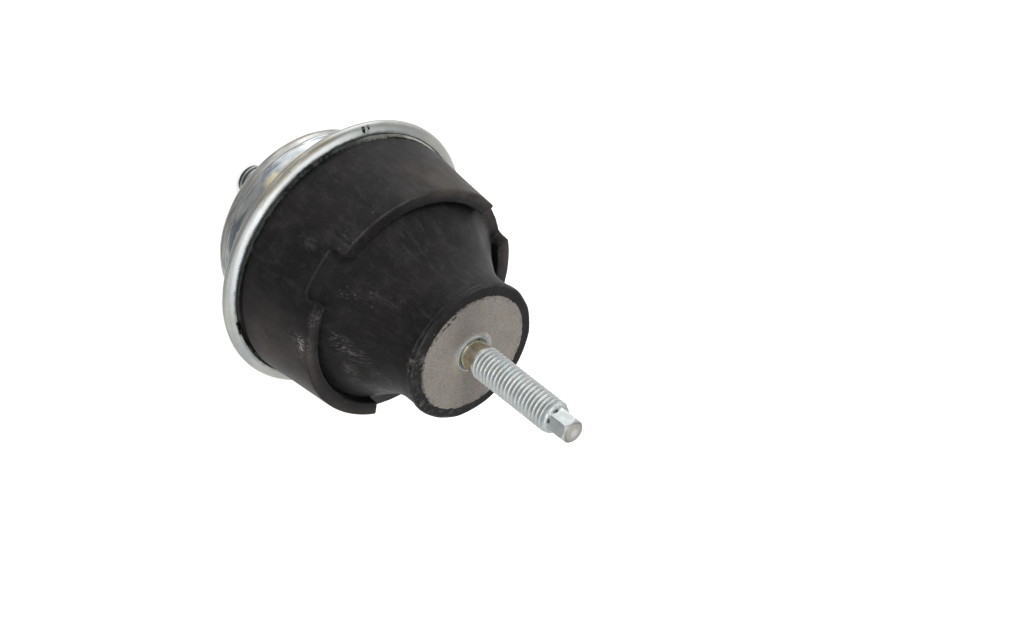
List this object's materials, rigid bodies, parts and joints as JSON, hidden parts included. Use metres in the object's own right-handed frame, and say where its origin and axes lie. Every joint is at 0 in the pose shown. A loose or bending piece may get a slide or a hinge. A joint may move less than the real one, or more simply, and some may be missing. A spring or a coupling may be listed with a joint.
{
  "type": "engine mount",
  "caption": "Fluid-filled rubber engine mount in a pressed steel can, with a long threaded stud in its rubber neck, a short stud in its base and a notched rubber crown round the neck.",
  "frame": {"origin": "on the mount's axis, in the plane of the can's base, where the base rests on the bracket", "axes": "+Z along the axis towards the long engine stud, +X through the middle of one notch of the rubber crown"},
  "size_m": [0.0874, 0.0874, 0.1523],
  "materials": {
    "plated_can": "zinc-plated, smooth and bright, with faint grey patches",
    "plated_stud": "zinc-plated, satin",
    "hidden_steel": "phosphated, matt",
    "spring_rubber": "matt black with a thin grey-brown dust",
    "core_metal": "as cast, grained and dull",
    "plate_metal": "die-cast, satin",
    "inner_rubber": "smooth matt black"
  },
  "bodies": {
    "root": {"mount_can": "plated_can", "body_stud": "plated_stud", "outer_ring": "hidden_steel", "rubber_spring": "spring_rubber", "core_insert": "core_metal", "engine_stud": "plated_stud", "upper_channel_plate": "plate_metal", "lower_channel_plate": "plate_metal", "decoupler_membrane": "inner_rubber", "bellows_diaphragm": "inner_rubber"}
  },
  "joints": []
}
